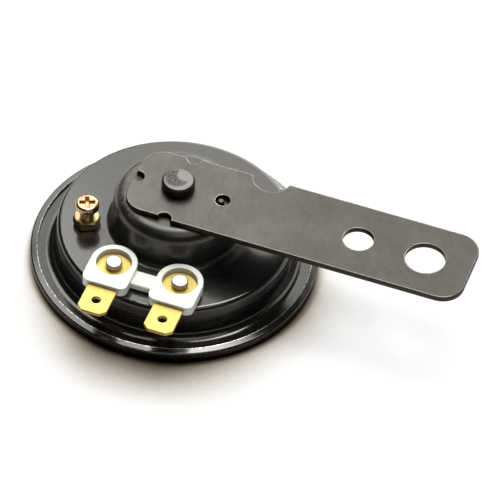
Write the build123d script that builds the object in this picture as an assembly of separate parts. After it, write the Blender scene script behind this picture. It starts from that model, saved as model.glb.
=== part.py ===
from build123d import *
import math
import os

# A 12 V disc horn for a vehicle. It lies on its face: the front ring rests on the plane z = 0, the horn's
# axis is Z, and +Z points out of its back. The mounting bracket runs along +X. The terminals point along -Y.

# ------------------------------------------------------------ driving dimensions, millimetres and degrees

# Front ring, hemmed over the edge of the housing
rim_radius = 30.58
rim_height = 2.4
ring_sheet = 0.4
ring_land = 4.68
rim_back_round = 0.5
rim_front_round = 0.6
hem_width = 1.48
hem_fall = 0.3

# Clamped stack behind the front ring
gasket_thickness = 0.25
diaphragm_thickness = 0.3
clamp_clearance = 0.88
gasket_width = 3.0

# Rear housing, one drawn shell
housing_sheet = 0.6
flange_clearance = 0.73
flange_width = 3.95
wall_lean = 0.5
wall_foot_round = 1.9
shelf_edge_height = 9.65
shelf_edge_round = 1.0
shelf_width = 11.05
boss_foot_height = 10.15
boss_foot_round = 1.1
boss_wall_lean = 0.85
boss_height = 19.24
boss_round = 2.8
pip_radius = 0.75
pip_height = 1.05
pip_round = 0.45
pip_dimple_depth = 0.4
pip_inset = 0.8

# Mounting bracket
bracket_thickness = 1.2
bracket_width = 19.2
bracket_end = 64.26
bracket_end_round = 4.8
head_end = -9.6
head_width = 18.3
head_round = 4.6
notch_radius = 1.45
notch_circle_radius = 9.35
notch_circle_x = 0.3
relief_radius = 3.9
relief_x = 17.4
relief_y = 10.0
relief_mouth_round = 0.6
locating_hole_radius = 1.6
locating_hole_offset = 0.4
small_bolt_radius = 3.25
small_bolt_x = 39.75
large_bolt_radius = 4.25
large_bolt_x = 54.33
punched_edge_round = 0.25

# Pole core, riveted through the housing and the bracket
pole_radius = 4.5
pole_neck_radius = 2.5
pole_shoe_radius = 6.0
pole_shoe_thickness = 1.25
tail_radius = 3.5
tail_height = 2.36
tail_groove_height = 1.3
tail_groove_depth = 0.2
tail_chamfer = 0.4

# Yoke plate under the coil
yoke_thickness = 1.5
yoke_radius = 16.5
yoke_margin = 2.95
yoke_sector_before = 50
yoke_sector_after = 15
yoke_flat_gap = 2.15

# Coil
bobbin_clearance = 1.55
bobbin_flange_thickness = 0.7
bobbin_wall = 0.65
winding_lead_gap = 0.35
winding_crown = 0.3
lead_notch_width = 1.2
lead_hole_radius = 0.6
lead_hole_inset = 0.65

# Armature, diaphragm and tone disc
air_gap = 0.5
armature_clearance = 1.1
armature_thickness = 1.8
armature_chamfer = 0.3
armature_washer_thickness = 0.4
spacer_washer_thickness = 0.4
centre_washer_radius = 4.5
stud_radius = 2.0
stud_chamfer = 0.35
stud_flare_height = 0.9
stud_flare_spread = 0.55
diaphragm_flat_radius = 7.0
diaphragm_step_gap = 0.6
diaphragm_step_run = 1.4
diaphragm_step_top = 2.9
diaphragm_step_round = 0.8
diaphragm_centre_round = 2.0
tone_disc_thickness = 0.6
tone_disc_gap = 4.4
tone_hub_radius = 5.5
tone_cone_radius = 10.5
tone_lip_width = 1.7
tone_lip_height = 0.7
tone_hub_round = 1.5
tone_lip_round = 1.0
tone_recess = 0.8
tone_nut_flats = 7.0
tone_nut_height = 1.7
stud_tip_height = 0.4

# Hexagon nuts: how far the turned-off corners rise for each millimetre that they run in
nut_bevel_slope = 0.6

# Adjusting screw and lock nut
adjuster_gap = 4.9
adjuster_angle = 202.5
screw_radius = 1.4
screw_tip_chamfer = 0.4
screw_head_radius = 2.5
screw_head_height = 1.6
screw_head_top = 16.2
screw_head_round = 0.7
screw_head_chamfer = 0.2
screw_recess_depth = 0.9
screw_recess_length = 3.4
screw_recess_width = 1.0
screw_recess_taper = 12
lock_nut_flats = 5.0
lock_nut_height = 2.0
lock_nut_turn = 1.5

# Contact breaker, laid out in its own frame: x towards the adjusting screw, y along the contact arm
breaker_offset = 5.25
breaker_post_y = -11.6
breaker_insulator_radius = 2.6
breaker_top_thickness = 0.8
breaker_base_thickness = 0.5
breaker_bush_wall = 0.65
breaker_rivet_radius = 1.25
breaker_rivet_head_radius = 2.2
breaker_rivet_head_height = 0.6
breaker_rivet_head_round = 0.4
breaker_sink_radius = 2.1
breaker_sink_depth = 0.9
leaf_corner_round = 1.0
arm_width = 5.0
arm_thickness = 0.3
arm_tail = 3.6
arm_end_y = 3.2
finger_overlap = 2.0
finger_width = 3.6
button_radius = 0.8
button_inset = 1.1
button_round = 0.15
button_gap = 0.1
contact_radius = 1.4
contact_height = 0.55
contact_y = -1.5
plate_thickness = 0.5
plate_ear_reach = 2.35
plate_ear_width = 5.2

# Terminals
terminal_x = 7.28
terminal_boss_gap = 0.65
blade_width = 6.3
blade_thickness = 0.8
blade_length = 14.2
blade_tip_cut_x = 1.45
blade_tip_cut_y = 1.35
blade_tip_bevel = 0.25
blade_hole_radius = 1.0
blade_hole_inset = 3.8
blade_eye_radius = 3.6
terminal_rivet_radius = 1.2
terminal_head_radius = 1.75
terminal_head_round = 0.3
terminal_head_height = 1.0
terminal_collar_radius = 1.67
terminal_collar_height = 0.5
terminal_tail_radius = 2.0
terminal_tail_height = 0.5
terminal_tail_round = 0.2

# Terminal insulator, one moulding
cup_radius = 4.9
cup_height = 2.5
cup_floor = 0.45
well_radius = 3.75
nose_length = 6.55
nose_round = 1.5
nose_drop = 0.35
cup_edge_round = 0.4
bar_back = 0.55
bar_front = 3.5
bar_height = 1.45
insulator_relief_height = 0.55
insulator_neck_radius = 1.9

# Inner insulator strip under the shelf
strip_overhang = 3.12
strip_back = 3.15
strip_front = 3.05
strip_round = 1.5

# Leads
lead_radius = 0.25
lead_bend = 0.7
lead_long_bend = 1.4
lead_drop_bend = 0.3
arm_lead_angle = 135
arm_joint_offset = 1.0
arm_joint_inset = 0.5
ear_joint_inset = 2.0
ear_joint_edge = 0.6
ear_lead_rise_start = 2.0
ear_lead_rise_end = 4.5

# Clearances
seat_clearance = 0.05
screw_clearance = 0.05
fit_clearance = 0.1
arm_clearance = 0.15

# ------------------------------------------------------------ radii and places that follow from them

hem_radius = rim_radius - hem_width
ring_opening_radius = rim_radius - ring_land
clamp_radius = rim_radius - ring_sheet - clamp_clearance
gasket_bore_radius = clamp_radius - gasket_width
flange_radius = rim_radius - ring_sheet - flange_clearance
wall_foot_radius = flange_radius - flange_width
shelf_edge_radius = wall_foot_radius - wall_lean
boss_foot_radius = shelf_edge_radius - shelf_width
boss_radius = boss_foot_radius - boss_wall_lean
pip_x = boss_radius - boss_round - pip_inset
locating_hole_x = pip_x + locating_hole_offset

diaphragm_step_foot_radius = gasket_bore_radius - diaphragm_step_gap
diaphragm_step_radius = diaphragm_step_foot_radius - diaphragm_step_run
tone_disc_radius = ring_opening_radius - tone_disc_gap
tone_lip_radius = tone_disc_radius - tone_lip_width
bore_radius = stud_radius + seat_clearance

adjuster_radius = boss_foot_radius + adjuster_gap
yoke_reach = adjuster_radius + yoke_margin
breaker_x = adjuster_radius - breaker_offset
plate_ear_x = adjuster_radius + plate_ear_reach
armature_radius = breaker_x - arm_width / 2 - armature_clearance
finger_end_x = armature_radius - finger_overlap
bush_radius = breaker_rivet_radius + breaker_bush_wall
arm_joint_x = breaker_x - arm_joint_offset

bobbin_flange_radius = boss_radius - housing_sheet - bobbin_clearance
lead_hole_circle_radius = bobbin_flange_radius - lead_hole_inset

terminal_distance = boss_foot_radius + terminal_boss_gap + cup_radius
terminal_y = -math.sqrt(terminal_distance**2 - terminal_x**2)
blade_tip_y = terminal_y - blade_length
blade_hole_y = blade_tip_y + blade_hole_inset
nose_y = terminal_y - nose_length
bar_back_y = terminal_y + bar_back
bar_front_y = terminal_y - bar_front
strip_half_length = terminal_x + strip_overhang
strip_back_y = terminal_y + strip_back
strip_front_y = terminal_y - strip_front
yoke_flat_y = terminal_y + terminal_tail_radius + yoke_flat_gap

# ------------------------------------------------------------ heights that follow from them

ring_back = ring_sheet
diaphragm_rim_bottom = ring_back + gasket_thickness
diaphragm_rim_top = diaphragm_rim_bottom + diaphragm_thickness
flange_bottom = diaphragm_rim_top + gasket_thickness
flange_top = flange_bottom + housing_sheet
shelf_slope = (boss_foot_height - shelf_edge_height) / (shelf_edge_radius - boss_foot_radius)


def shelf_height(radius):
    """Height of the shelf's outer surface at a distance from the horn's axis."""
    return boss_foot_height - shelf_slope * (radius - boss_foot_radius)


def shelf_inside(radius):
    """Height of the shelf's inner surface at a distance from the horn's axis."""
    return shelf_height(radius) - housing_sheet * math.hypot(1, shelf_slope)


bracket_bottom = boss_height
bracket_top = bracket_bottom + bracket_thickness
boss_inside = boss_height - housing_sheet
yoke_top = shelf_inside(yoke_reach) - seat_clearance
yoke_bottom = yoke_top - yoke_thickness
pole_face = yoke_bottom - pole_shoe_thickness
armature_top = pole_face - air_gap
armature_bottom = armature_top - armature_thickness
diaphragm_centre_top = armature_bottom - armature_washer_thickness
diaphragm_centre_bottom = diaphragm_centre_top - diaphragm_thickness
tone_hub_top = diaphragm_centre_bottom - spacer_washer_thickness
tone_hub_bottom = tone_hub_top - tone_disc_thickness

arm_top = yoke_bottom - breaker_top_thickness - arm_clearance
arm_bottom = arm_top - arm_thickness
button_bottom = armature_top + button_gap
contact_plane = arm_bottom - contact_height
plate_top = contact_plane - contact_height
plate_bottom = plate_top - plate_thickness
breaker_base = plate_bottom - breaker_base_thickness

lock_nut_seat = shelf_height(adjuster_radius - lock_nut_flats / math.sqrt(3)) + seat_clearance
insulator_base = shelf_height(math.hypot(terminal_x, terminal_y) - cup_radius) + seat_clearance
blade_bottom = insulator_base + cup_floor
blade_top = blade_bottom + blade_thickness
strip_top = shelf_inside(math.hypot(strip_half_length, strip_front_y)) - seat_clearance
strip_bottom = yoke_bottom - seat_clearance
lead_height = strip_bottom - lead_radius
lead_top = yoke_top + 2 * bobbin_flange_thickness
terminal_tail_top = lead_height - lead_radius

AXIS = Location((0, 0, 0))
ADJUSTER = Rot(0, 0, adjuster_angle) * Pos(adjuster_radius, 0, 0)
BREAKER = Rot(0, 0, adjuster_angle)
POST = BREAKER * Pos(breaker_x, breaker_post_y, 0)


# ------------------------------------------------------------ shared shapes


def post(radius, bottom, top, place=AXIS):
    """An upright round bar between two heights."""
    return place * Pos(0, 0, bottom) * extrude(Circle(radius), top - bottom)


def washer(radius, bore, bottom, top, place=AXIS):
    """A flat ring between two heights."""
    return post(radius, bottom, top, place) - post(bore, bottom, top, place)


def slab(outline, bottom, top, place=AXIS):
    """A flat outline raised between two heights."""
    return place * Pos(0, 0, bottom) * extrude(outline, top - bottom)


def turned(*points):
    """A solid turned about Z from points given as (radius, height)."""
    return revolve(Plane.XZ * make_face(Polyline(*points, close=True)), Axis.Z)


def pressed(points, rounds, sheet, side):
    """Sheet metal turned about Z: one surface's line, its corner radii, and the sheet's side of it."""
    line = Plane.XZ * FilletPolyline(*points, radius=rounds)
    return revolve(Face(Wire(line.edges()).offset_2d(sheet, side=side)), Axis.Z)


def hex_nut(flats, height, bore, bottom, place=AXIS):
    """A hexagon nut with its corners turned off at both ends."""
    corner = flats / math.sqrt(3)
    bevel = corner - flats / 2
    rise = bevel * nut_bevel_slope
    blank = turned(
        (0, 0),
        (corner - bevel, 0),
        (corner, rise),
        (corner, height - rise),
        (corner - bevel, height),
        (0, height),
    )
    prism = extrude(RegularPolygon(corner, 6), height)
    return place * Pos(0, 0, bottom) * ((prism & blank) - post(bore, 0, height))


def wire_lead(points, bends):
    """A round wire along straight runs joined by arcs."""
    path = FilletPolyline(*points, radius=bends)
    start = Plane(origin=path @ 0, z_dir=path % 0)
    return sweep(start * Circle(lead_radius), path=path)


# ------------------------------------------------------------ housing and front ring


def rear_housing():
    """One drawn shell: flange, wall, shelf and boss, with the locating pip pressed up beside the pole."""
    line = [
        (flange_radius, flange_top),
        (wall_foot_radius, flange_top),
        (shelf_edge_radius, shelf_edge_height),
        (boss_foot_radius, boss_foot_height),
        (boss_radius, boss_height),
        (0, boss_height),
    ]
    rounds = [wall_foot_round, shelf_edge_round, boss_foot_round, boss_round]
    shell = pressed(line, rounds, housing_sheet, Side.LEFT)
    pip = post(pip_radius, boss_inside, boss_height + pip_height, Pos(pip_x, 0, 0))
    shell += fillet(pip.edges().group_by(Axis.Z)[-1], pip_round)
    shell -= post(pip_radius, boss_inside, boss_inside + pip_dimple_depth, Pos(pip_x, 0, 0))
    shell -= post(pole_neck_radius + seat_clearance, boss_inside, boss_height)
    shell -= post(screw_radius + fit_clearance, 0, boss_height, ADJUSTER)
    for x in (-terminal_x, terminal_x):
        shell -= post(insulator_neck_radius + seat_clearance, flange_top, boss_height, Pos(x, terminal_y, 0))
    return shell


def front_ring():
    """Sheet ring whose outer edge is rolled round the clamped stack and hemmed over the housing's flange."""
    line = [
        (ring_opening_radius, 0),
        (rim_radius, 0),
        (rim_radius, rim_height - hem_fall),
        (hem_radius, rim_height),
    ]
    return pressed(line, [rim_front_round, rim_back_round], ring_sheet, Side.RIGHT)


def front_gasket():
    return washer(clamp_radius, gasket_bore_radius, ring_back, diaphragm_rim_bottom)


def rear_gasket():
    return washer(clamp_radius, gasket_bore_radius, diaphragm_rim_top, flange_bottom)


# ------------------------------------------------------------ sounder: what moves with the diaphragm


def diaphragm():
    """Spring steel disc: a clamped flat rim, a formed step, and a shallow cone up to a flat centre."""
    line = [
        (clamp_radius, diaphragm_rim_top),
        (diaphragm_step_foot_radius, diaphragm_rim_top),
        (diaphragm_step_radius, diaphragm_step_top),
        (diaphragm_flat_radius, diaphragm_centre_top),
        (bore_radius, diaphragm_centre_top),
    ]
    rounds = [diaphragm_step_round, diaphragm_step_round, diaphragm_centre_round]
    return pressed(line, rounds, diaphragm_thickness, Side.LEFT)


def tone_disc():
    """Dished disc in front of the diaphragm, set back from the ring's rest face, with a turned-up lip."""
    line = [
        (bore_radius, tone_hub_bottom),
        (tone_hub_radius, tone_hub_bottom),
        (tone_cone_radius, tone_recess),
        (tone_lip_radius, tone_recess),
        (tone_disc_radius, tone_recess + tone_lip_height),
    ]
    rounds = [tone_hub_round, tone_hub_round, tone_lip_round]
    return pressed(line, rounds, tone_disc_thickness, Side.LEFT)


def tone_disc_nut():
    return hex_nut(tone_nut_flats, tone_nut_height, bore_radius, tone_hub_bottom - tone_nut_height)


def spacer_washer():
    return washer(centre_washer_radius, bore_radius, tone_hub_top, diaphragm_centre_bottom)


def armature_washer():
    return washer(centre_washer_radius, bore_radius, diaphragm_centre_top, armature_bottom)


def armature():
    """Soft iron disc that the pole pulls, countersunk for its stud's riveted end."""
    disc = washer(armature_radius, bore_radius, armature_bottom, armature_top)
    disc -= stud_flare(seat_clearance)
    rims = disc.edges().filter_by(GeomType.CIRCLE).sort_by(SortBy.RADIUS)[-2:]
    return chamfer(rims, armature_chamfer)


def stud_flare(gap):
    """The stud's upper end, spread into the armature's countersink."""
    foot = stud_radius + gap
    return turned(
        (0, armature_top - stud_flare_height),
        (foot, armature_top - stud_flare_height),
        (foot + stud_flare_spread, armature_top),
        (0, armature_top),
    )


def armature_stud():
    stud = post(stud_radius, stud_tip_height, armature_top - stud_flare_height)
    stud = chamfer(stud.edges().group_by(Axis.Z)[0], stud_chamfer)
    return stud + stud_flare(0)


# ------------------------------------------------------------ magnet: pole, yoke and coil


def pole_core():
    """Turned pole: shoe under the yoke, core through the coil, neck through housing and bracket, tail."""
    tail_top = bracket_top + tail_height
    groove = bracket_top + tail_groove_height
    return turned(
        (0, pole_face),
        (pole_shoe_radius, pole_face),
        (pole_shoe_radius, yoke_bottom),
        (pole_radius, yoke_bottom),
        (pole_radius, boss_inside),
        (pole_neck_radius, boss_inside),
        (pole_neck_radius, bracket_top),
        (tail_radius, bracket_top),
        (tail_radius, groove - tail_groove_depth),
        (tail_radius - tail_groove_depth, groove),
        (tail_radius, groove + tail_groove_depth),
        (tail_radius, tail_top - tail_chamfer),
        (tail_radius - tail_chamfer, tail_top),
        (0, tail_top),
    )


def yoke_plate():
    """Steel plate that closes the magnet's circuit, holds the coil in the boss and carries the breaker."""
    start = adjuster_angle - yoke_sector_before
    arc = CenterArc((0, 0), yoke_reach, start, yoke_sector_before + yoke_sector_after)
    sector = make_face(Line((0, 0), arc @ 0) + arc + Line(arc @ 1, (0, 0)))
    flat = Pos(0, yoke_flat_y - yoke_radius) * Rectangle(2 * yoke_radius, 2 * yoke_radius)
    plate = slab(Circle(yoke_radius) - flat, yoke_bottom, yoke_top) + slab(sector, yoke_bottom, yoke_top)
    plate -= post(pole_radius + seat_clearance, yoke_bottom, yoke_top)
    plate -= post(screw_radius + screw_clearance, yoke_bottom, yoke_top, ADJUSTER)
    plate -= post(breaker_rivet_radius + seat_clearance, yoke_bottom, yoke_top, POST)
    plate -= rivet_sink(seat_clearance)
    for place in coil_lead_places():
        plate -= post(lead_hole_radius, yoke_bottom, yoke_top, place)
    return plate


def coil_lead_places():
    """Where the coil's two leads come down: towards the contact arm's tail and the right terminal."""
    angles = arm_lead_angle, math.degrees(math.atan2(terminal_y, terminal_x))
    return [Rot(0, 0, angle) * Pos(lead_hole_circle_radius, 0, 0) for angle in angles]


def coil_bobbin():
    """Moulded spool, with a notch in its lower flange for each lead."""
    tube = pole_radius + seat_clearance + bobbin_wall
    lower = yoke_top + bobbin_flange_thickness
    upper = boss_inside - seat_clearance - bobbin_flange_thickness
    spool = turned(
        (pole_radius + seat_clearance, yoke_top),
        (bobbin_flange_radius, yoke_top),
        (bobbin_flange_radius, lower),
        (tube, lower),
        (tube, upper),
        (bobbin_flange_radius, upper),
        (bobbin_flange_radius, upper + bobbin_flange_thickness),
        (pole_radius + seat_clearance, upper + bobbin_flange_thickness),
    )
    notch_depth = bobbin_flange_radius - lead_hole_circle_radius + lead_notch_width / 2
    for place in coil_lead_places():
        mouth = Pos(notch_depth - lead_notch_width / 2, 0) * Rectangle(2 * notch_depth, lead_notch_width)
        spool -= slab(mouth, yoke_top, lower, place)
    return spool


def coil_winding():
    """The wire wound on the bobbin, as one solid with a slightly crowned outside."""
    inner = pole_radius + seat_clearance + bobbin_wall + seat_clearance
    lower = yoke_top + bobbin_flange_thickness + seat_clearance
    upper = boss_inside - 2 * seat_clearance - bobbin_flange_thickness
    edge = lead_hole_circle_radius - lead_radius - winding_lead_gap
    profile = make_face(
        Polyline((edge, lower), (inner, lower), (inner, upper), (edge, upper))
        + ThreePointArc((edge, upper), (edge + winding_crown, (lower + upper) / 2), (edge, lower))
    )
    return revolve(Plane.XZ * profile, Axis.Z)


# ------------------------------------------------------------ contact breaker


def rivet_sink(gap):
    """The breaker rivet's upper end, spread into the yoke's countersink."""
    foot = breaker_rivet_radius + gap
    return POST * turned(
        (0, yoke_top - breaker_sink_depth),
        (foot, yoke_top - breaker_sink_depth),
        (breaker_sink_radius + gap, yoke_top),
        (0, yoke_top),
    )


def breaker_rivet():
    head = post(breaker_rivet_head_radius, breaker_base - breaker_rivet_head_height, breaker_base)
    head = fillet(head.edges().group_by(Axis.Z)[0], breaker_rivet_head_round)
    shank = post(breaker_rivet_radius, breaker_base, yoke_top - breaker_sink_depth)
    return POST * (head + shank) + rivet_sink(0)


def breaker_top_insulator():
    bore = breaker_rivet_radius + seat_clearance
    bottom = yoke_bottom - breaker_top_thickness
    return washer(breaker_insulator_radius, bore, bottom, yoke_bottom, POST)


def breaker_bush():
    """Insulating bush: its tube passes through arm and plate, and its collar keeps them apart."""
    tube_top = yoke_bottom - breaker_top_thickness
    bush = post(breaker_insulator_radius, plate_top, arm_bottom - arm_clearance)
    bush += post(bush_radius, plate_bottom, tube_top)
    return POST * (bush - post(breaker_rivet_radius + seat_clearance, plate_bottom, tube_top))


def breaker_base_insulator():
    bore = breaker_rivet_radius + seat_clearance
    return washer(breaker_insulator_radius, bore, breaker_base, plate_bottom, POST)


def contact_arm():
    """Spring leaf: an eye on the rivet, an arm over the fixed contact, a finger over the armature's edge."""
    tail_y = breaker_post_y - arm_tail
    middle = Pos(breaker_x, (tail_y + arm_end_y) / 2)
    strip = middle * RectangleRounded(arm_width, arm_end_y - tail_y, leaf_corner_round)
    finger_length = breaker_x - finger_end_x
    finger_x = finger_end_x + finger_length / 2
    finger_middle = Pos(finger_x, arm_end_y - finger_width / 2)
    finger = finger_middle * RectangleRounded(finger_length, finger_width, leaf_corner_round)
    arm = slab(strip, arm_bottom, arm_top) + slab(finger, arm_bottom, arm_top)
    arm -= post(bush_radius + fit_clearance, arm_bottom, arm_top, Pos(breaker_x, breaker_post_y, 0))
    return BREAKER * arm


def arm_button():
    """Insulating button under the finger, pushed up by the armature."""
    place = Pos(finger_end_x + button_inset, arm_end_y - finger_width / 2, 0)
    button = post(button_radius, button_bottom, arm_bottom, place)
    return BREAKER * fillet(button.edges().group_by(Axis.Z)[0], button_round)


def moving_contact():
    return post(contact_radius, contact_plane, arm_bottom, BREAKER * Pos(breaker_x, contact_y, 0))


def fixed_contact():
    return post(contact_radius, plate_top, contact_plane, BREAKER * Pos(breaker_x, contact_y, 0))


def fixed_contact_plate():
    """Stiff plate under the arm, with an ear that the adjusting screw's tip bears on."""
    tail_y = breaker_post_y - arm_tail
    end_y = plate_ear_width / 2
    left = breaker_x - arm_width / 2
    middle = Pos(breaker_x, (tail_y + end_y) / 2)
    strip = middle * RectangleRounded(arm_width, end_y - tail_y, leaf_corner_round)
    ear = RectangleRounded(plate_ear_x - left, plate_ear_width, leaf_corner_round)
    ear = Pos((left + plate_ear_x) / 2, 0) * ear
    plate = slab(strip, plate_bottom, plate_top) + slab(ear, plate_bottom, plate_top)
    plate -= post(bush_radius + seat_clearance, plate_bottom, plate_top, Pos(breaker_x, breaker_post_y, 0))
    return BREAKER * plate


# ------------------------------------------------------------ adjusting screw


def adjusting_screw():
    """Pan-head screw with a cross recess; its tip stops just short of the fixed contact plate's ear."""
    tip = plate_top + seat_clearance
    head_bottom = screw_head_top - screw_head_height
    shank = chamfer(post(screw_radius, tip, head_bottom).edges().group_by(Axis.Z)[0], screw_tip_chamfer)
    head = post(screw_head_radius, head_bottom, screw_head_top)
    head = fillet(head.edges().group_by(Axis.Z)[-1], screw_head_round)
    head = chamfer(head.edges().group_by(Axis.Z)[0], screw_head_chamfer)
    cross = Rectangle(screw_recess_length, screw_recess_width)
    cross += Rectangle(screw_recess_width, screw_recess_length)
    recess = Pos(0, 0, screw_head_top) * extrude(cross, -screw_recess_depth, taper=screw_recess_taper)
    return ADJUSTER * (shank + head - recess)


def lock_nut():
    place = ADJUSTER * Rot(0, 0, lock_nut_turn)
    return hex_nut(lock_nut_flats, lock_nut_height, screw_radius + screw_clearance, lock_nut_seat, place)


# ------------------------------------------------------------ terminals


def terminal_blade(x):
    """Spade terminal: a round eye in the cup's well, and a blade with clipped corners and a detent hole."""
    half = blade_width / 2
    blade = make_face(
        Polyline(
            (x - half, terminal_y),
            (x - half, blade_tip_y + blade_tip_cut_y),
            (x - half + blade_tip_cut_x, blade_tip_y),
            (x + half - blade_tip_cut_x, blade_tip_y),
            (x + half, blade_tip_y + blade_tip_cut_y),
            (x + half, terminal_y),
            close=True,
        )
    )
    outline = blade + Pos(x, terminal_y) * Circle(blade_eye_radius)
    outline -= Pos(x, terminal_y) * Circle(terminal_rivet_radius + seat_clearance)
    outline -= Pos(x, blade_hole_y) * Circle(blade_hole_radius)
    plate = slab(outline, blade_bottom, blade_top)
    return chamfer(plate.edges().filter_by(Axis.X).group_by(Axis.Y)[0], blade_tip_bevel)


def terminal_rivet(x):
    """Rivet through blade, insulator, housing and inner strip, with a collar and a flat-topped head."""
    place = Pos(x, terminal_y, 0)
    collar_top = blade_top + terminal_collar_height
    head_top = collar_top + terminal_head_height
    head = post(terminal_head_radius, collar_top, head_top)
    rivet = fillet(head.edges().group_by(Axis.Z)[-1], terminal_head_round)
    rivet += post(terminal_collar_radius, blade_top, collar_top)
    rivet += post(terminal_rivet_radius, terminal_tail_top, blade_top)
    tail = post(terminal_tail_radius, terminal_tail_top - terminal_tail_height, terminal_tail_top)
    tail = fillet(tail.edges().group_by(Axis.Z)[0], terminal_tail_round)
    return place * (rivet + tail)


def terminal_insulator():
    """One white moulding: two open cups with noses that the blades come out of, joined by a low bar."""
    cup_top = insulator_base + cup_height
    bar = Pos(0, (bar_back_y + bar_front_y) / 2) * Rectangle(2 * terminal_x, bar_back_y - bar_front_y)
    body = slab(bar, insulator_base, insulator_base + bar_height)
    body = fillet(body.edges().filter_by(Axis.X).group_by(Axis.Z)[-1], cup_edge_round)
    for x in (-terminal_x, terminal_x):
        nose = Pos(x, terminal_y - nose_length / 2) * Rectangle(2 * cup_radius, nose_length)
        cup = slab(nose, insulator_base, cup_top)
        cup = fillet(cup.edges().filter_by(Axis.Z).group_by(Axis.Y)[0], nose_round)
        cup += post(cup_radius, insulator_base, cup_top, Pos(x, terminal_y, 0))
        slope = make_face(
            Polyline(
                (nose_y, cup_top - nose_drop),
                (terminal_y - well_radius, cup_top),
                (nose_y, cup_top),
                close=True,
            )
        )
        cup -= Pos(x - cup_radius, 0, 0) * extrude(Plane.YZ * slope, 2 * cup_radius)
        body += cup
    for x in (-terminal_x, terminal_x):
        body -= post(well_radius, blade_bottom, cup_top, Pos(x, terminal_y, 0))
        slot = Pos(x, terminal_y - nose_length / 2) * Rectangle(blade_width + 2 * seat_clearance, nose_length)
        body -= slab(slot, blade_bottom, blade_top + seat_clearance)
        body += post(insulator_neck_radius, strip_top, blade_bottom, Pos(x, terminal_y, 0))
        body -= post(terminal_rivet_radius + seat_clearance, strip_top, blade_bottom, Pos(x, terminal_y, 0))
    relief_top = insulator_base + insulator_relief_height
    return body - post(boss_foot_radius + boss_foot_round, insulator_base, relief_top)


def inner_insulator_strip():
    """Fibre strip under the shelf that keeps both rivets clear of the housing."""
    middle = Pos(0, (strip_back_y + strip_front_y) / 2)
    outline = middle * RectangleRounded(2 * strip_half_length, strip_back_y - strip_front_y, strip_round)
    for x in (-terminal_x, terminal_x):
        outline -= Pos(x, terminal_y) * Circle(terminal_rivet_radius + seat_clearance)
    return slab(outline, strip_bottom, strip_top)


# ------------------------------------------------------------ leads


def rivet_eye(x):
    """The bare end of a lead, bent round a terminal rivet and pinched under the inner strip."""
    ring = Torus(terminal_rivet_radius + seat_clearance + lead_radius, lead_radius)
    return Pos(x, terminal_y, lead_height) * ring


def coil_terminal_lead():
    """From the coil down through the yoke and out to the right terminal's rivet."""
    start = coil_lead_places()[1].position
    toward = (Vector(terminal_x, terminal_y, 0) - start).normalized()
    end = Vector(terminal_x, terminal_y, 0) - toward * (terminal_rivet_radius + seat_clearance + lead_radius)
    points = [
        (start.X, start.Y, lead_top),
        (start.X, start.Y, lead_height),
        (end.X, end.Y, lead_height),
    ]
    return wire_lead(points, [lead_bend]) + rivet_eye(terminal_x)


def coil_arm_lead():
    """From the coil down through the yoke to the contact arm's tail."""
    start = coil_lead_places()[0].position
    end = (BREAKER * Pos(arm_joint_x, breaker_post_y - arm_tail + arm_joint_inset, 0)).position
    points = [
        (start.X, start.Y, lead_top),
        (start.X, start.Y, lead_height),
        (end.X, end.Y, lead_height),
        (end.X, end.Y, arm_top),
    ]
    return wire_lead(points, [lead_bend, lead_drop_bend])


def plate_terminal_lead():
    """From the fixed contact plate's ear up and across to the left terminal's rivet."""
    start = (BREAKER * Pos(plate_ear_x - ear_joint_inset, plate_ear_width / 2 - ear_joint_edge, 0)).position
    eye = Vector(-terminal_x, terminal_y, 0)
    toward = (eye - start).normalized()
    rise = start + toward * ear_lead_rise_start
    level = start + toward * ear_lead_rise_end
    end = eye - toward * (terminal_rivet_radius + seat_clearance + lead_radius)
    points = [
        (start.X, start.Y, plate_top + lead_radius),
        (rise.X, rise.Y, plate_top + lead_radius),
        (level.X, level.Y, lead_height),
        (end.X, end.Y, lead_height),
    ]
    return wire_lead(points, [lead_long_bend, lead_long_bend]) + rivet_eye(-terminal_x)


# ------------------------------------------------------------ bracket


def bracket():
    """Blanked and pierced flat strip, with three notches round its head and one relief in its side."""
    head = Pos((head_end + notch_circle_x) / 2, 0) * Rectangle(notch_circle_x - head_end, head_width)
    head = fillet(head.vertices().group_by(Axis.X)[0], head_round)
    arm_length = bracket_end - notch_circle_x
    arm = Pos(notch_circle_x + arm_length / 2, 0) * Rectangle(arm_length, bracket_width)
    arm = fillet(arm.vertices().group_by(Axis.X)[-1], bracket_end_round)
    outline = head + arm
    for angle in (90, 180, 270):
        place = Pos(notch_circle_x, 0) * Rot(0, 0, angle) * Pos(notch_circle_radius, 0)
        outline -= place * Circle(notch_radius)
    outline -= Pos(relief_x, relief_y) * Circle(relief_radius)
    plate = slab(outline, bracket_bottom, bracket_top)
    upright = plate.edges().filter_by(Axis.Z)
    mouth = [edge for edge in upright if abs(edge.center().X - relief_x) < relief_radius]
    plate = fillet(mouth, relief_mouth_round)
    plate = fillet(plate.edges().group_by(Axis.Z)[-1], punched_edge_round)
    holes = [
        (0, pole_neck_radius + seat_clearance),
        (locating_hole_x, locating_hole_radius),
        (small_bolt_x, small_bolt_radius),
        (large_bolt_x, large_bolt_radius),
    ]
    for x, radius in holes:
        plate -= post(radius, bracket_bottom, bracket_top, Pos(x, 0, 0))
    return plate


# ------------------------------------------------------------ write one file for each piece

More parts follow.
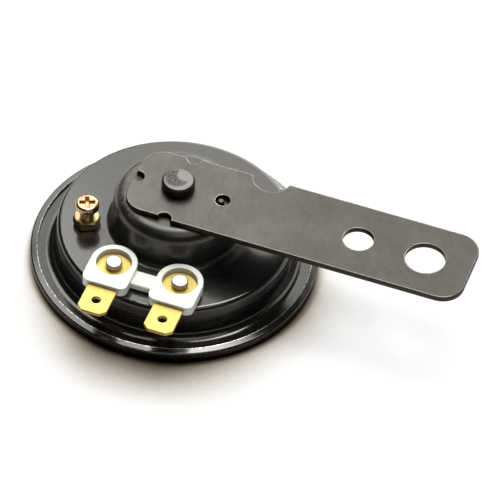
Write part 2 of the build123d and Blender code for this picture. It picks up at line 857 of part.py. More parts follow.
pieces = {
    "rear_housing": rear_housing(),
    "front_ring": front_ring(),
    "front_gasket": front_gasket(),
    "rear_gasket": rear_gasket(),
    "diaphragm": diaphragm(),
    "tone_disc": tone_disc(),
    "tone_disc_nut": tone_disc_nut(),
    "spacer_washer": spacer_washer(),
    "armature_washer": armature_washer(),
    "armature": armature(),
    "armature_stud": armature_stud(),
    "pole_core": pole_core(),
    "yoke_plate": yoke_plate(),
    "coil_bobbin": coil_bobbin(),
    "coil_winding": coil_winding(),
    "breaker_rivet": breaker_rivet(),
    "breaker_top_insulator": breaker_top_insulator(),
    "breaker_bush": breaker_bush(),
    "breaker_base_insulator": breaker_base_insulator(),
    "contact_arm": contact_arm(),
    "arm_button": arm_button(),
    "moving_contact": moving_contact(),
    "fixed_contact": fixed_contact(),
    "fixed_contact_plate": fixed_contact_plate(),
    "adjusting_screw": adjusting_screw(),
    "lock_nut": lock_nut(),
    "terminal_insulator": terminal_insulator(),
    "left_terminal_blade": terminal_blade(-terminal_x),
    "right_terminal_blade": terminal_blade(terminal_x),
    "left_terminal_rivet": terminal_rivet(-terminal_x),
    "right_terminal_rivet": terminal_rivet(terminal_x),
    "inner_insulator_strip": inner_insulator_strip(),
    "coil_terminal_lead": coil_terminal_lead(),
    "coil_arm_lead": coil_arm_lead(),
    "plate_terminal_lead": plate_terminal_lead(),
    "bracket": bracket(),
}

os.makedirs("parts", exist_ok=True)
for node, piece in pieces.items():
    export_step(piece, f"parts/{node}.step")
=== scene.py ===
import math

import bmesh
import bpy
from mathutils import Matrix, Vector


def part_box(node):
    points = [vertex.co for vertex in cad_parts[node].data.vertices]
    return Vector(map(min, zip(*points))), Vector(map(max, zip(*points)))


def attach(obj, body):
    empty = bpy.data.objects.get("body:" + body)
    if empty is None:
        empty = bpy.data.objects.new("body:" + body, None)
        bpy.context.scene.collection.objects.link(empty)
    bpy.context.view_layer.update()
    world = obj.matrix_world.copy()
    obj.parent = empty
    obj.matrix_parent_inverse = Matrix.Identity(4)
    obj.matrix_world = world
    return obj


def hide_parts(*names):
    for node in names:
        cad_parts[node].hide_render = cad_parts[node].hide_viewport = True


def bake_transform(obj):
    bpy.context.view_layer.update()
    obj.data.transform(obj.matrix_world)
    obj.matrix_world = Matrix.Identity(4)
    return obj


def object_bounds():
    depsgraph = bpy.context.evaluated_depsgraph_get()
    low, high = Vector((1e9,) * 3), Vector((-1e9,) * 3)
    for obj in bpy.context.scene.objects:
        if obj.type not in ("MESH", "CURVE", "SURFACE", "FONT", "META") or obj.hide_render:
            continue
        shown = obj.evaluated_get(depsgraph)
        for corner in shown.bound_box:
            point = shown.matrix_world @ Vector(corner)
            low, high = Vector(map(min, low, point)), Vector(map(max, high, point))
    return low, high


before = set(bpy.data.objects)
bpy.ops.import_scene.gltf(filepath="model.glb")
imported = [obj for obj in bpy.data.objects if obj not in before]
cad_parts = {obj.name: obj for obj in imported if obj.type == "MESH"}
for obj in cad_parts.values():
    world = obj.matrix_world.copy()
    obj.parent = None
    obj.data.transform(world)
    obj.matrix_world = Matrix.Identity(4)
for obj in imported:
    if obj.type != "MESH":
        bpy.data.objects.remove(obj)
cad_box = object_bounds()


# ---------------------------------------------------------------- rear housing
# The drawn steel shell that the magnet sits in. It is dipped and stoved in gloss black enamel, which pools a
# little, keeps a fine orange peel, and shows the faint line that the drawing die left round the outer wall.

MM = 0.001


class Shade:
    """One socket of a node tree. Arithmetic on it adds Math nodes."""

    def __init__(self, tree, socket):
        self.tree = tree
        self.socket = socket

    def node(self, kind, settings, inputs, output=0):
        """Any other node: its settings first, then the values or links of its sockets."""
        new = self.tree.nodes.new(kind)
        for name, value in settings.items():
            setattr(new, name, value)
        for name, value in inputs.items():
            if isinstance(value, Shade):
                self.tree.links.new(value.socket, new.inputs[name])
            else:
                new.inputs[name].default_value = value
        return Shade(self.tree, new.outputs[output])

    def math(self, operation, *others):
        """A Math node on this socket and up to two other values."""
        return self.node("ShaderNodeMath", {"operation": operation}, dict(enumerate((self, *others))))

    def vector(self, operation, other):
        """A Vector Math node on this socket and another vector or colour."""
        return self.node("ShaderNodeVectorMath", {"operation": operation}, {0: self, 1: other})

    def __add__(self, other):
        return self.math("ADD", other)

    def __radd__(self, other):
        return self.math("ADD", other)

    def __sub__(self, other):
        return self.math("SUBTRACT", other)

    def __rsub__(self, other):
        return (self * -1) + other

    def __mul__(self, other):
        return self.math("MULTIPLY", other)

    def __rmul__(self, other):
        return self.math("MULTIPLY", other)

    def axis(self, name):
        """One component of a vector: X, Y or Z."""
        return self.node("ShaderNodeSeparateXYZ", {}, {0: self}, name)

    def radius(self):
        """Distance from the horn's axis."""
        flat = self.vector("MULTIPLY", (1, 1, 0))
        return flat.node("ShaderNodeVectorMath", {"operation": "LENGTH"}, {0: flat}, "Value")

    def stretch(self, x, y, z):
        """Coordinates pulled out along each axis, so that a pattern on them turns into grain."""
        return self.vector("MULTIPLY", (x, y, z))

    def noise(self, size, detail=3.0, roughness=0.5):
        """Soft cloudy noise, 0 to 1, with patches of about this size in metres."""
        values = {"Vector": self, "Scale": 1 / size, "Detail": detail, "Roughness": roughness}
        return self.node("ShaderNodeTexNoise", {}, values, "Fac")

    def steps(self, low, high):
        """0 below low, 1 above high, and a smooth rise between them."""
        settings = {"interpolation_type": "SMOOTHSTEP"}
        return self.node("ShaderNodeMapRange", settings, {"Value": self, "From Min": low, "From Max": high})

    def band(self, centre, half_width):
        """1 at centre, falling to 0 at half a width either side."""
        away = (self - centre).math("ABSOLUTE")
        return 1 - away.steps(0.0, half_width)

    def ridges(self, pitch):
        """Even ridges along a distance, 0 in the grooves and 1 on the crests."""
        return (self * (2 * math.pi / pitch)).math("SINE") * 0.5 + 0.5

    def blend(self, dark, light):
        """A colour between two others, by this mask."""
        new = self.tree.nodes.new("ShaderNodeMix")
        new.data_type = "RGBA"
        self.tree.links.new(self.socket, new.inputs[0])
        for place, colour in ((6, dark), (7, light)):
            if isinstance(colour, Shade):
                self.tree.links.new(colour.socket, new.inputs[place])
            else:
                new.inputs[place].default_value = (*colour, 1.0)
        return Shade(self.tree, new.outputs[2])

    def relief(self, depth, under=None):
        """A bump whose heights, 0 to 1, stand for this depth in metres."""
        values = {"Height": self, "Distance": depth, "Strength": 1.0}
        if under:
            values["Normal"] = under
        return self.node("ShaderNodeBump", {}, values, "Normal")

    def broken_edge(self, radius):
        """The surface's normal, turned over each sharp edge as if it were broken to this radius."""
        return self.node("ShaderNodeBevel", {"samples": 4}, {"Radius": radius})


class Finish:
    """A material: fixed values are set on its shader's sockets, and what varies is linked with vary."""

    def __init__(self, name, **fixed):
        self.material = bpy.data.materials.new(name)
        self.material.use_nodes = True
        self.tree = self.material.node_tree
        self.shader = self.tree.nodes["Principled BSDF"]
        for socket, value in fixed.items():
            self.shader.inputs[socket.replace("_", " ")].default_value = value
        coordinates = self.tree.nodes.new("ShaderNodeTexCoord")
        self.place = Shade(self.tree, coordinates.outputs["Object"])
        self.facing = Shade(self.tree, coordinates.outputs["Normal"])

    def vary(self, **links):
        """Links what changes over the surface to the shader's sockets."""
        for socket, value in links.items():
            self.tree.links.new(value.socket, self.shader.inputs[socket.replace("_", " ")])

    def feeding(self, socket):
        """What already feeds one of the shader's sockets."""
        return Shade(self.tree, self.shader.inputs[socket].links[0].from_socket)

    def coat(self, *nodes):
        """Puts the material on whole CAD nodes."""
        for node in nodes:
            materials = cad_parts[node].data.materials
            materials.clear()
            materials.append(self.material)


def enamel(name, wear=None):
    """Gloss black enamel over steel. wear(place) may give a mask of where it has worn to bare metal."""
    thin_black = (0.0055, 0.0050, 0.0048)
    thick_black = (0.0095, 0.0085, 0.0078)
    dust = (0.16, 0.15, 0.13)
    bare_steel = (0.62, 0.60, 0.56)
    pool_size = 9 * MM
    pool_depth = 0.02 * MM
    peel_size = 0.55 * MM
    peel_depth = 0.0008 * MM
    haze_size = 2.2 * MM
    speck_size = 0.16 * MM
    speck_cluster_size = 4 * MM
    matt_radius = 15.5 * MM
    gloss_radius = 17 * MM

    finish = Finish(name, IOR=1.62, Specular_Tint=(1.0, 0.985, 0.90, 1.0))
    place = finish.place
    pooled = place.noise(pool_size, 2.0)
    peel = place.noise(peel_size, 2.0)
    haze = place.noise(haze_size, 5.0, 0.65)
    clusters = place.noise(speck_cluster_size, 1.0).steps(0.5, 0.62)
    speck = place.noise(speck_size, 0.0).steps(0.79, 0.83) * clusters
    bare = wear(place) if wear else None
    colour = haze.blend(thin_black, thick_black)
    colour = speck.blend(colour, dust)
    drawn_boss = 1 - place.radius().steps(matt_radius, gloss_radius)
    roughness = 0.15 + haze * 0.05 + drawn_boss * 0.13 + speck * 0.3
    skin = peel.relief(peel_depth, pooled.relief(pool_depth))
    if bare:
        colour = bare.blend(colour, bare_steel)
        roughness = roughness + bare * 0.15
        finish.vary(Metallic=bare)
    finish.vary(Base_Color=colour, Roughness=roughness, Normal=skin)
    return finish


draw_line_height = 7.1 * MM
draw_line_width = 0.12 * MM
outer_wall_radii = (24.2 * MM, 24.6 * MM)
beside_bracket_x = (-8 * MM, -3 * MM)
boss_roof_z = (18.2 * MM, 19.0 * MM)
patch_size = 2.6 * MM
grit_size = 0.34 * MM
grit_colour = (0.15, 0.075, 0.050)
raised = 0.03 * MM

housing = enamel("housing_enamel")
outer_wall = housing.place.radius().steps(*outer_wall_radii)
draw_line = housing.place.axis("Z").band(draw_line_height, draw_line_width) * outer_wall
skin = housing.feeding("Normal")
colour = housing.feeding("Base Color")
gloss = housing.feeding("Roughness")
boss_roof = housing.place.axis("Z").steps(*boss_roof_z)
beside_bracket = (1 - housing.place.axis("X").steps(*beside_bracket_x)) * boss_roof
patches = housing.place.noise(patch_size, 2.0).steps(0.38, 0.52)
grit = housing.place.noise(grit_size, 3.0, 0.7).steps(0.50, 0.58) * patches * beside_bracket
housing.vary(
    Base_Color=grit.blend(colour, grit_colour),
    Roughness=gloss + grit * 0.4,
    Normal=(draw_line + grit).relief(raised, skin),
)
housing.coat("rear_housing")


# ---------------------------------------------------------------- front ring
# Pressed steel ring, enamelled like the housing and then hemmed over its flange. Hemming cracks the enamel
# along the sheet's cut edge, which shows as a fine, broken bright line all the way round.


def hem_wear(place):
    """Where the hem's cut edge and its corner have lost their enamel."""
    cut_edge_radius = 29.1 * MM
    worn_width = 0.17 * MM
    hem_top_z = (2.0 * MM, 2.1 * MM)
    crack_size = 0.5 * MM
    near_edge = place.radius().band(cut_edge_radius, worn_width)
    on_hem = place.axis("Z").steps(*hem_top_z)
    cracks = place.noise(crack_size, 4.0, 0.7).steps(0.4, 0.56)
    return near_edge * on_hem * cracks


ring = enamel("ring_enamel", hem_wear)
ring.coat("front_ring")


# ---------------------------------------------------------------- gaskets
# Two rings punched from oiled gasket paper. They are clamped in the hem, one on each side of the diaphragm's
# rim, which they seal and cushion.

soaked_paper = (0.13, 0.09, 0.055)
dry_paper = (0.30, 0.23, 0.15)
paper_fibre_size = 0.5 * MM
paper_fibre_depth = 0.03 * MM

paper = Finish("gasket_paper_oiled", Roughness=0.8)
fibres = paper.place.noise(paper_fibre_size, 6.0, 0.7)
paper.vary(Base_Color=fibres.blend(soaked_paper, dry_paper), Normal=fibres.relief(paper_fibre_depth))
paper.coat("front_gasket", "rear_gasket")


# ---------------------------------------------------------------- diaphragm and contact arm
# Bright cold-rolled spring steel. The diaphragm is formed in one hit and carries everything that sounds; the
# contact arm is a leaf cut from the same strip. Fine rolling lines run one way across both.

dark_steel = (0.36, 0.35, 0.34)
bright_steel = (0.52, 0.52, 0.53)
rolling_size = 1.6 * MM
rolling_stretch = 14
rolling_depth = 0.004 * MM
smear_size = 6 * MM

spring = Finish("spring_steel_strip", Metallic=1.0)
rolling = spring.place.stretch(1, rolling_stretch, 1).noise(rolling_size, 4.0)
smear = spring.place.noise(smear_size, 3.0)
spring.vary(
    Base_Color=smear.blend(dark_steel, bright_steel),
    Roughness=0.24 + rolling * 0.16,
    Normal=rolling.relief(rolling_depth),
)
spring.coat("diaphragm", "contact_arm")

# On the horn the diaphragm's rim stays in the hem while its middle moves with the tone disc. Here a merged
# copy, shaded smooth except across edges sharper than 30 degrees, stands in for the CAD node, which is
# hidden.
merge_distance = 0.001 * MM
smooth_below = math.radians(30)
formed = bmesh.new()
formed.from_mesh(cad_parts["diaphragm"].data)
formed.transform(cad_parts["diaphragm"].matrix_world)
bmesh.ops.remove_doubles(formed, verts=formed.verts, dist=merge_distance)
formed.verts.index_update()
corners = [vertex.co.copy() for vertex in formed.verts]
facets = [[vertex.index for vertex in face.verts] for face in formed.faces]
formed.free()
flexing = bpy.data.objects.new("flexing_diaphragm", bpy.data.meshes.new("flexing_diaphragm"))
flexing.data.from_pydata(corners, [], facets)
flexing.data.shade_smooth()
flexing.data.set_sharp_from_angle(angle=smooth_below)
flexing.data.materials.append(spring.material)
bpy.context.scene.collection.objects.link(flexing)
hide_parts("diaphragm")
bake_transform(flexing)


# ---------------------------------------------------------------- tone disc
# A dished steel disc, clamped to the diaphragm's middle by the stud and its nut. It rings with the
# diaphragm and projects the sound, and it is enamelled like the housing.

tone = enamel("tone_disc_enamel")
tone.coat("tone_disc")


# ---------------------------------------------------------------- plated steel fasteners inside
# The stud, nut and washers clamp disc, diaphragm and armature together, the rivet holds the breaker, and the
# plate carries the fixed contact. All are turned or stamped steel with clear zinc plate.

dull_zinc = (0.52, 0.54, 0.58)
bright_zinc = (0.70, 0.71, 0.72)
spangle_size = 0.8 * MM
spangle_depth = 0.006 * MM

zinc = Finish("clear_zinc_plate", Metallic=1.0)
spangle = zinc.place.noise(spangle_size, 3.0)
zinc.vary(
    Base_Color=spangle.blend(dull_zinc, bright_zinc),
    Roughness=0.25 + spangle * 0.2,
    Normal=spangle.relief(spangle_depth),
)
zinc.coat("tone_disc_nut", "spacer_washer", "armature_washer", "armature_stud")
zinc.coat("breaker_rivet", "fixed_contact_plate")


# ---------------------------------------------------------------- magnet iron
# The armature and the yoke plate carry the coil's field. They are soft iron, blanked and lightly oiled, with
# a dull brownish skin.

brown_skin = (0.17, 0.155, 0.14)
grey_iron = (0.33, 0.32, 0.31)
scale_size = 3 * MM
scale_depth = 0.015 * MM

iron = Finish("soft_iron_oiled", Metallic=1.0)
scale = iron.place.noise(scale_size, 6.0, 0.6)
iron.vary(
    Base_Color=scale.blend(brown_skin, grey_iron),
    Roughness=0.38 + scale * 0.22,
    Normal=scale.relief(scale_depth),
)
iron.coat("armature", "yoke_plate")


# ---------------------------------------------------------------- coil
# Enamelled copper wire wound in even turns on a spool of black glass-filled nylon, with its two ends led out
# through the yoke to the contact arm and to the right terminal.

spool_black = (0.02, 0.02, 0.021)
spool_grey = (0.05, 0.05, 0.052)
glass_fibre_size = 0.25 * MM
glass_fibre_depth = 0.01 * MM

spool = Finish("glass_filled_nylon", Roughness=0.55)
glass_fibre = spool.place.noise(glass_fibre_size, 4.0, 0.7)
spool.vary(
    Base_Color=glass_fibre.blend(spool_black, spool_grey),
    Normal=glass_fibre.relief(glass_fibre_depth),
)
spool.coat("coil_bobbin")

wire_pitch = 0.5 * MM
wire_depth = 0.12 * MM
shaded_copper_in_gaps = (0.30, 0.10, 0.035)
copper_on_turns = (0.78, 0.36, 0.16)

# Painted shade: the winding is coloured darker and redder in the grooves between its turns.
copper = Finish("enamelled_copper", Metallic=1.0, Coat_Weight=1.0, Coat_Roughness=0.1)
turns = copper.place.axis("Z").ridges(wire_pitch)
copper.vary(
    Base_Color=turns.blend(shaded_copper_in_gaps, copper_on_turns),
    Roughness=0.3 + turns * 0.1,
    Normal=turns.relief(wire_depth),
)
copper.coat("coil_winding")

tarnish_size = 1.5 * MM
tarnished_copper = (0.48, 0.19, 0.08)
clean_copper = (0.80, 0.42, 0.22)

lead_copper = Finish("lead_copper", Metallic=1.0)
tarnish = lead_copper.place.noise(tarnish_size, 3.0)
lead_copper.vary(
    Base_Color=tarnish.blend(tarnished_copper, clean_copper),
    Roughness=0.25 + tarnish * 0.2,
)
lead_copper.coat("coil_terminal_lead", "coil_arm_lead", "plate_terminal_lead")


# ---------------------------------------------------------------- breaker insulation and contacts
# Red vulcanised fibre washers, bush, button and strip keep the breaker and the rivets clear of the housing.
# The two contacts are ground tungsten, brazed to the arm and to the plate.

deep_red = (0.22, 0.035, 0.02)
light_red = (0.42, 0.10, 0.055)
layer_size = 1.2 * MM
layer_stretch = 6
layer_depth = 0.01 * MM

fibre = Finish("vulcanised_fibre", Roughness=0.5)
layers = fibre.place.stretch(1, 1, layer_stretch).noise(layer_size, 4.0)
fibre.vary(Base_Color=layers.blend(deep_red, light_red), Normal=layers.relief(layer_depth))
fibre.coat("breaker_top_insulator", "breaker_bush", "breaker_base_insulator")
fibre.coat("arm_button", "inner_insulator_strip")

dark_tungsten = (0.40, 0.40, 0.41)
bright_tungsten = (0.58, 0.58, 0.59)
grinding_size = 0.6 * MM
grinding_stretch = 12

tungsten = Finish("ground_tungsten", Metallic=1.0)
grinding = tungsten.place.stretch(grinding_stretch, 1, 1).noise(grinding_size, 2.0)
tungsten.vary(
    Base_Color=grinding.blend(dark_tungsten, bright_tungsten),
    Roughness=0.2 + grinding * 0.15,
)
tungsten.coat("moving_contact", "fixed_contact")


# ---------------------------------------------------------------- bracket
# Blanked from rolled strip and blackened thinly, so the steel still shows through as a satin brown-grey. The
# punch leaves dull, slightly rusty side faces. A near-white line painted along the top's edges is a painted
# highlight.

cloud_size = 11 * MM
cloud_dark = (0.058, 0.055, 0.047)
cloud_light = (0.088, 0.086, 0.076)
smudge_size = 4 * MM
smudge_stretch = 1.6
smudge_share = 0.5
smudge_colour = (0.050, 0.046, 0.038)
grain_size = 1.5 * MM
grain_stretch = 7
grain_share = 0.5
grain_colour = (0.098, 0.094, 0.083)
grain_depth = 0.008 * MM
fine_size = 0.3 * MM
fine_stretch = 2.5
fine_depth = 0.004 * MM
far_end_x = (0, 48 * MM)
far_end_shade_share = 0.45
far_end_shade = (0.030, 0.027, 0.021)
punched_dark = (0.024, 0.020, 0.017)
punched_light = (0.075, 0.062, 0.050)
shaded_side_near_head = (0.022, 0.018, 0.016)
rust_size = 2.4 * MM
rust_x = (6 * MM, 26 * MM)
rust_colour = (0.080, 0.036, 0.022)
edge_radius = 0.40 * MM
edge_highlight_colour = (0.95, 0.90, 0.82)

bracket = Finish("blackened_strip", Metallic=1.0)
place = bracket.place
cloud = place.noise(cloud_size, 4.0, 0.6)
grain = place.stretch(grain_stretch, 1, 1).noise(grain_size, 5.0, 0.7)
fine = place.stretch(fine_stretch, 1, 1).noise(fine_size, 3.0)
broken_edge = place.broken_edge(edge_radius)
level = bracket.facing.axis("Z").steps(0.9, 0.96)
# Painted highlight: a near-white line on the top, where the broken edge turns away from level.
painted_edge_highlight = (1 - broken_edge.axis("Z").steps(0.86, 0.995)) * level * grain.steps(0.2, 0.45)
side = 1 - bracket.facing.axis("Z").math("ABSOLUTE").steps(0.35, 0.8)
near_boss = 1 - place.axis("X").steps(*rust_x)
rust = place.noise(rust_size, 5.0, 0.7).steps(0.50, 0.66) * side * near_boss
smudge = place.stretch(smudge_stretch, 1, 1).noise(smudge_size, 4.0, 0.65).steps(0.35, 0.7)
blackened = cloud.steps(0.25, 0.75).blend(cloud_dark, cloud_light)
blackened = (smudge * smudge_share).blend(blackened, smudge_colour)
blackened = (grain.steps(0.4, 0.7) * grain_share).blend(blackened, grain_colour)
# Painted shade: the top is painted darker towards the far end, and the side faces darker near the head.
far_end = place.axis("X").steps(*far_end_x)
blackened = (far_end * far_end_shade_share).blend(blackened, far_end_shade)
punched = fine.blend(punched_dark, punched_light)
punched = far_end.blend(shaded_side_near_head, punched)
blackened = side.blend(blackened, punched)
bracket.vary(
    Base_Color=painted_edge_highlight.blend(rust.blend(blackened, rust_colour), edge_highlight_colour),
    Roughness=0.26 + smudge * 0.10 + grain * 0.08 + side * 0.15,
    Normal=fine.relief(fine_depth, grain.relief(grain_depth, broken_edge)),
)
bracket.coat("bracket")


# ---------------------------------------------------------------- pole
# The magnet's turned steel core. Its tail stands on the bracket as a round button, where the riveting punch
# has left the top dull and pitted with a shallow comma-shaped mark. Its sides are painted far darker than the
# top, as painted shade.

shaded_pole_side = (0.030, 0.028, 0.026)
pole_top = (0.135, 0.131, 0.122)
mark_colour = (0.040, 0.036, 0.032)
pit_size = 0.34 * MM
mark_depth = 0.05 * MM
mark_drop = -0.6
pit_rise = 0.4
turning_pitch = 0.18 * MM
turning_depth = 0.02 * MM
rounding_radius = 0.2 * MM
punch_centre = (-0.54 * MM, 0.26 * MM, 0)
punch_rim = (2.1 * MM, 2.8 * MM)
clear_centre = (1.0 * MM, 1.85 * MM, 0)
clear_rim = (1.6 * MM, 2.1 * MM)

pole = Finish("turned_pole", Metallic=1.0)
place = pole.place
top = pole.facing.axis("Z").steps(0.85, 0.97)
pits = place.noise(pit_size, 4.0, 0.75)
turning = place.axis("Z").ridges(turning_pitch)
under_punch = 1 - place.vector("SUBTRACT", punch_centre).radius().steps(*punch_rim)
not_clear = place.vector("SUBTRACT", clear_centre).radius().steps(*clear_rim)
mark = not_clear * under_punch * top * pits.steps(0.45, 0.53)
rounded = place.broken_edge(rounding_radius)
turned = ((1 - top) * turning).relief(turning_depth, rounded)
pole.vary(
    # Painted shade: the sides take a much darker colour than the top.
    Base_Color=mark.blend(top.blend(shaded_pole_side, pole_top), mark_colour),
    Roughness=0.42 + pits * 0.12,
    Normal=(mark * mark_drop + pits * top * pit_rise).relief(mark_depth, turned),
)
pole.coat("pole_core")


# ---------------------------------------------------------------- adjusting screw and lock nut
# M3 machine screw and nut with yellow passivated zinc. The passivate is a thin film, so its colour drifts
# from straw to pink. The screw's thread is rolled, and a row of its crests shows between head and nut.

straw = (0.54, 0.42, 0.20)
pink = (0.50, 0.27, 0.19)
green = (0.38, 0.38, 0.17)
drift_size = 1.8 * MM
other_drift_size = 1.3 * MM
spot_size = 0.3 * MM
spot_depth = 0.006 * MM

passivate = Finish("yellow_passivate", Metallic=1.0)
place = passivate.place
drift = place.noise(drift_size, 2.0)
other_drift = place.noise(other_drift_size, 2.0)
film = other_drift.steps(0.52, 0.68).blend(drift.steps(0.45, 0.62).blend(straw, pink), green)
spots = place.noise(spot_size, 3.0)
passivate.vary(
    Base_Color=film,
    Roughness=0.16 + spots * 0.14,
    Normal=spots.relief(spot_depth),
)
passivate.coat("adjusting_screw", "lock_nut")

screw_low, screw_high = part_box("adjusting_screw")
nut_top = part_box("lock_nut")[1].z
screw_axis = (screw_low + screw_high) / 2
head_thickness = 1.6 * MM
thread_in_nut = 0.6 * MM
below_head = 0.1 * MM
thread_bottom = nut_top - thread_in_nut
thread_top = screw_high.z - head_thickness - below_head
thread_sizes = {
    "Root": 1.36 * MM,
    "Crest": 1.52 * MM,
    "Pitch": 0.5 * MM,
    "Height": thread_top - thread_bottom,
}
helix_points = 40
ridge_points = 8


def nodes_tree(name, sizes):
    """A Geometry Nodes tree that makes its own mesh: its named inputs for each size, and its output."""
    tree = bpy.data.node_groups.new(name, "GeometryNodeTree")
    for size, value in sizes.items():
        tree.interface.new_socket(size, in_out="INPUT", socket_type="NodeSocketFloat").default_value = value
    tree.interface.new_socket("Geometry", in_out="OUTPUT", socket_type="NodeSocketGeometry")
    given = tree.nodes.new("NodeGroupInput")
    result = tree.nodes.new("NodeGroupOutput")
    return tree, [Shade(tree, given.outputs[size]) for size in sizes], result


def grown(name, tree, sizes):
    """The plain mesh that a tree makes with these sizes, as a new object."""
    holder = bpy.data.objects.new(name + "_holder", bpy.data.meshes.new(name + "_holder"))
    bpy.context.scene.collection.objects.link(holder)
    modifier = holder.modifiers.new(name, "NODES")
    modifier.node_group = tree
    for item in tree.interface.items_tree:
        if item.in_out == "INPUT":
            modifier[item.identifier] = sizes[item.name]
    evaluated = holder.evaluated_get(bpy.context.evaluated_depsgraph_get())
    mesh = bpy.data.meshes.new_from_object(evaluated)
    bpy.data.objects.remove(holder)
    piece = bpy.data.objects.new(name, mesh)
    bpy.context.scene.collection.objects.link(piece)
    return piece


tree, (root, crest, pitch, height), result = nodes_tree("rolled_thread", thread_sizes)
helix_sizes = {
    "Resolution": helix_points,
    "Rotations": height.math("DIVIDE", pitch),
    "Start Radius": root,
    "End Radius": root,
    "Height": height,
}
helix = root.node("GeometryNodeCurveSpiral", {}, helix_sizes)
ridge_sizes = {"Resolution": ridge_points, "Radius": crest - root}
ridge = root.node("GeometryNodeCurvePrimitiveCircle", {}, ridge_sizes)
sweep = {"Curve": helix, "Profile Curve": ridge, "Fill Caps": True}
swept = helix.node("GeometryNodeCurveToMesh", {}, sweep)
smooth = swept.node("GeometryNodeSetShadeSmooth", {}, {"Geometry": swept})
real = smooth.node("GeometryNodeRealizeInstances", {}, {"Geometry": smooth})
dressed = real.node("GeometryNodeSetMaterial", {}, {"Geometry": real, "Material": passivate.material})
tree.links.new(dressed.socket, result.inputs["Geometry"])
thread = grown("screw_thread", tree, thread_sizes)
thread.data.transform(Matrix.Translation((screw_axis.x, screw_axis.y, thread_bottom)))
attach(thread, "adjuster")


# ---------------------------------------------------------------- terminal insulator
# One moulding in natural nylon, held down by the two rivets. It lets a little light through at its thin rims,
# and has a faint moulded sheen.

nylon_shade = (0.78, 0.78, 0.71)
nylon_light = (0.85, 0.85, 0.785)
mottle_size = 2.5 * MM
mottle_depth = 0.03 * MM
mould_size = 0.35 * MM
mould_depth = 0.005 * MM

nylon = Finish(
    "natural_nylon",
    Subsurface_Weight=0.35,
    Subsurface_Radius=(1.0, 0.9, 0.7),
    Subsurface_Scale=0.8 * MM,
    IOR=1.53,
)
mottle = nylon.place.noise(mottle_size, 3.0)
mould = nylon.place.noise(mould_size, 3.0)
nylon.vary(
    Base_Color=mottle.blend(nylon_shade, nylon_light),
    Roughness=0.32 + mottle * 0.12,
    Normal=mould.relief(mould_depth, mottle.relief(mottle_depth)),
)
nylon.coat("terminal_insulator")


# ---------------------------------------------------------------- terminal blades
# Stamped from bright rolled brass strip, and held in the insulator by their rivets. The rolling lines run
# along each blade, and its cut sides are slightly darker.

stained_brass = (0.44, 0.33, 0.095)
clean_brass = (0.56, 0.44, 0.145)
cut_brass = (0.50, 0.36, 0.10)
line_size = 1.4 * MM
line_stretch = 9
line_depth = 0.006 * MM
stain_size = 0.5 * MM
sheared_radius = 0.1 * MM

brass = Finish("rolled_brass", Metallic=1.0)
place = brass.place
lines = place.stretch(line_stretch, 1, 1).noise(line_size, 4.0)
stain = place.noise(stain_size, 5.0, 0.75).steps(0.3, 0.7)
cut = 1 - brass.facing.axis("Z").steps(0.4, 0.8)
sheet = stain.blend(stained_brass, clean_brass)
sheared = place.broken_edge(sheared_radius)
brass.vary(
    Base_Color=cut.blend(sheet, cut_brass),
    Roughness=0.46 + lines * 0.12,
    Normal=lines.relief(line_depth, sheared),
)
brass.coat("left_terminal_blade", "right_terminal_blade")


# ---------------------------------------------------------------- terminal rivets
# Tinned brass rivets, set with a flat punch that leaves a small crease on the head. The tin has worn through
# to the brass on the collar below it.

tin_colour = (0.46, 0.46, 0.45)
worn_to_brass = (0.46, 0.33, 0.10)
crease_size = 0.7 * MM
crease_depth = 0.09 * MM
blade_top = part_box("right_terminal_blade")[1].z
collar_top_z = (blade_top + 0.42 * MM, blade_top + 0.55 * MM)

tin = Finish("tinned_rivet", Metallic=1.0)
collar = 1 - tin.place.axis("Z").steps(*collar_top_z)
crease = tin.place.noise(crease_size, 3.0)
tin.vary(
    Base_Color=collar.blend(tin_colour, worn_to_brass),
    Roughness=0.30 + crease * 0.20,
    Normal=crease.relief(crease_depth),
)
tin.coat("left_terminal_rivet", "right_terminal_rivet")


# ---------------------------------------------------------------- table, light and camera
# A white table just under the horn. Eight soft lamps light it: six from behind and above, one low at the
# right, and one weak lamp from the front. Just in front of the horn the table's colour and glow carry a
# painted shadow, deeper and warmer where the horn stands close behind each spot, on top of the lamps' real
# shadows.

view_turn = 0.2884
reach = 3.0
table_drop = 0.02 * MM
table_height = cad_box[0].z - table_drop
painted_shadow_reach = 22 * MM
lean_back = 0.85
lean_up = 0.53
warm_green = 1.12
warm_blue = 1.3
paint_lit = (0.80, 0.80, 0.80)
paint_seen = (0.24, 0.24, 0.24)
glow_lit = (0.0, 0.0, 0.0)
glow_seen = (0.79, 0.79, 0.79)

table = bpy.data.objects.new("table", bpy.data.meshes.new("table"))
table_corners = [
    (-reach, -reach, table_height),
    (reach, -reach, table_height),
    (reach, reach, table_height),
    (-reach, reach, table_height),
]
table.data.from_pydata(table_corners, [], [(0, 1, 2, 3)])
bpy.context.scene.collection.objects.link(table)
table_top = Finish("table_white", Roughness=0.9, Specular_IOR_Level=0.0, Emission_Strength=1.0)
rays = table_top.tree.nodes.new("ShaderNodeLightPath")
seen = Shade(table_top.tree, rays.outputs["Is Camera Ray"])
lean = {"X": -math.sin(view_turn) * lean_back, "Y": math.cos(view_turn) * lean_back, "Z": lean_up}
toward_back = seen.node("ShaderNodeCombineXYZ", {}, lean)
around = {"Distance": painted_shadow_reach, "Normal": toward_back}
# Painted shadow: the table's colour and glow darken, and turn warmer, where the horn is close behind a spot.
nearness = seen.node("ShaderNodeAmbientOcclusion", {"samples": 24}, around, "AO")
gap = nearness.steps(0.40, 0.91)
painted_shadow_warmth = {"Red": gap, "Green": gap.math("POWER", warm_green), "Blue": gap.math("POWER", warm_blue)}
painted_shadow = gap.node("ShaderNodeCombineColor", {}, painted_shadow_warmth)
paint = seen.blend(paint_lit, paint_seen)
glow = seen.blend(glow_lit, glow_seen)
table_top.vary(
    Base_Color=painted_shadow.vector("MULTIPLY", paint),
    Emission_Color=painted_shadow.vector("MULTIPLY", glow),
)
table.data.materials.append(table_top.material)

lamp_distance = 0.9


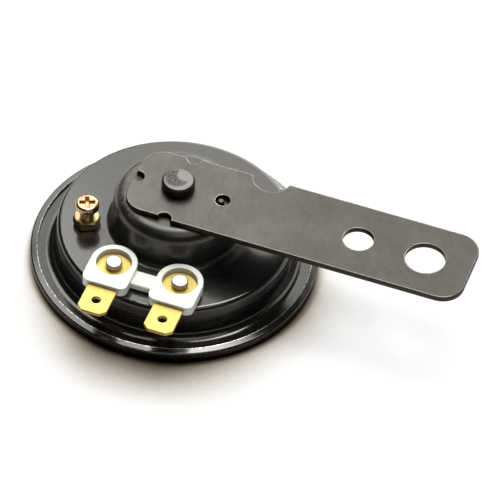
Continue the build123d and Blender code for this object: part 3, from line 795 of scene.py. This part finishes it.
def softbox(name, round_left, up, width, height, brightness):
    """A flat lamp that faces the horn, by its angles round from straight behind it and up; 1 looks white."""
    light = bpy.data.lights.new(name, "AREA")
    light.shape = "RECTANGLE"
    light.size = width
    light.size_y = height
    light.energy = brightness * math.pi * width * height
    lamp = bpy.data.objects.new(name, light)
    bpy.context.scene.collection.objects.link(lamp)
    heading = math.radians(90 + round_left) + view_turn
    level = math.cos(math.radians(up))
    away = Vector((math.cos(heading) * level, math.sin(heading) * level, math.sin(math.radians(up))))
    turned_in = away.to_track_quat("Z", "Y").to_matrix().to_4x4()
    lamp.matrix_world = Matrix.Translation(away * lamp_distance) @ turned_in


softbox("back_left", 30, 61, 0.50, 0.52, 5.1)
softbox("back_middle", -14, 55, 0.26, 0.32, 3.1)
softbox("back_right_high", -38, 72, 0.45, 0.19, 12.5)
softbox("overhead", 0, 88, 0.36, 0.36, 2.0)
softbox("back_low", 0, 31, 0.90, 0.44, 3.0)
softbox("back_low_key", -15, 20, 0.42, 0.22, 5.5)
softbox("right_low", -60, 22, 0.96, 0.32, 2.1)
softbox("front_fill", 205, 60, 0.60, 0.40, 1.4)

ambient = (0.036, 0.030, 0.024)
white = (1.0, 1.0, 1.0)
world = bpy.data.worlds.new("studio")
bpy.context.scene.world = world
world.use_nodes = True
studio_rays = world.node_tree.nodes.new("ShaderNodeLightPath")
sky = Shade(world.node_tree, studio_rays.outputs["Is Camera Ray"])
backdrop = world.node_tree.nodes["Background"]
world.node_tree.links.new(sky.blend(ambient, white).socket, backdrop.inputs["Color"])

view_dip = 0.8033
view_roll = 0.0700
view_distance = 1.01865
aim_right = 0.015858
aim_up = 0.002227
lens = 346.5
sensor_width = 36.0
sight = 20.0
right = Vector((math.cos(view_turn), math.sin(view_turn), 0))
level_ahead = math.cos(view_dip)
ahead = Vector((
    -math.sin(view_turn) * level_ahead,
    math.cos(view_turn) * level_ahead,
    -math.sin(view_dip),
))
upward = right.cross(ahead)
eye = right * aim_right + upward * aim_up - ahead * view_distance
rolled_right = right * math.cos(view_roll) + upward * math.sin(view_roll)
rolled_up = upward * math.cos(view_roll) - right * math.sin(view_roll)
camera = bpy.data.objects.new("camera", bpy.data.cameras.new("camera"))
camera.data.lens = lens
camera.data.sensor_width = sensor_width
camera.data.clip_end = sight
bpy.context.scene.collection.objects.link(camera)
axes = Matrix((rolled_right, rolled_up, -ahead)).transposed().to_4x4()
camera.matrix_world = Matrix.Translation(eye) @ axes
bpy.context.scene.camera = camera
bpy.context.scene.view_settings.view_transform = "Standard"
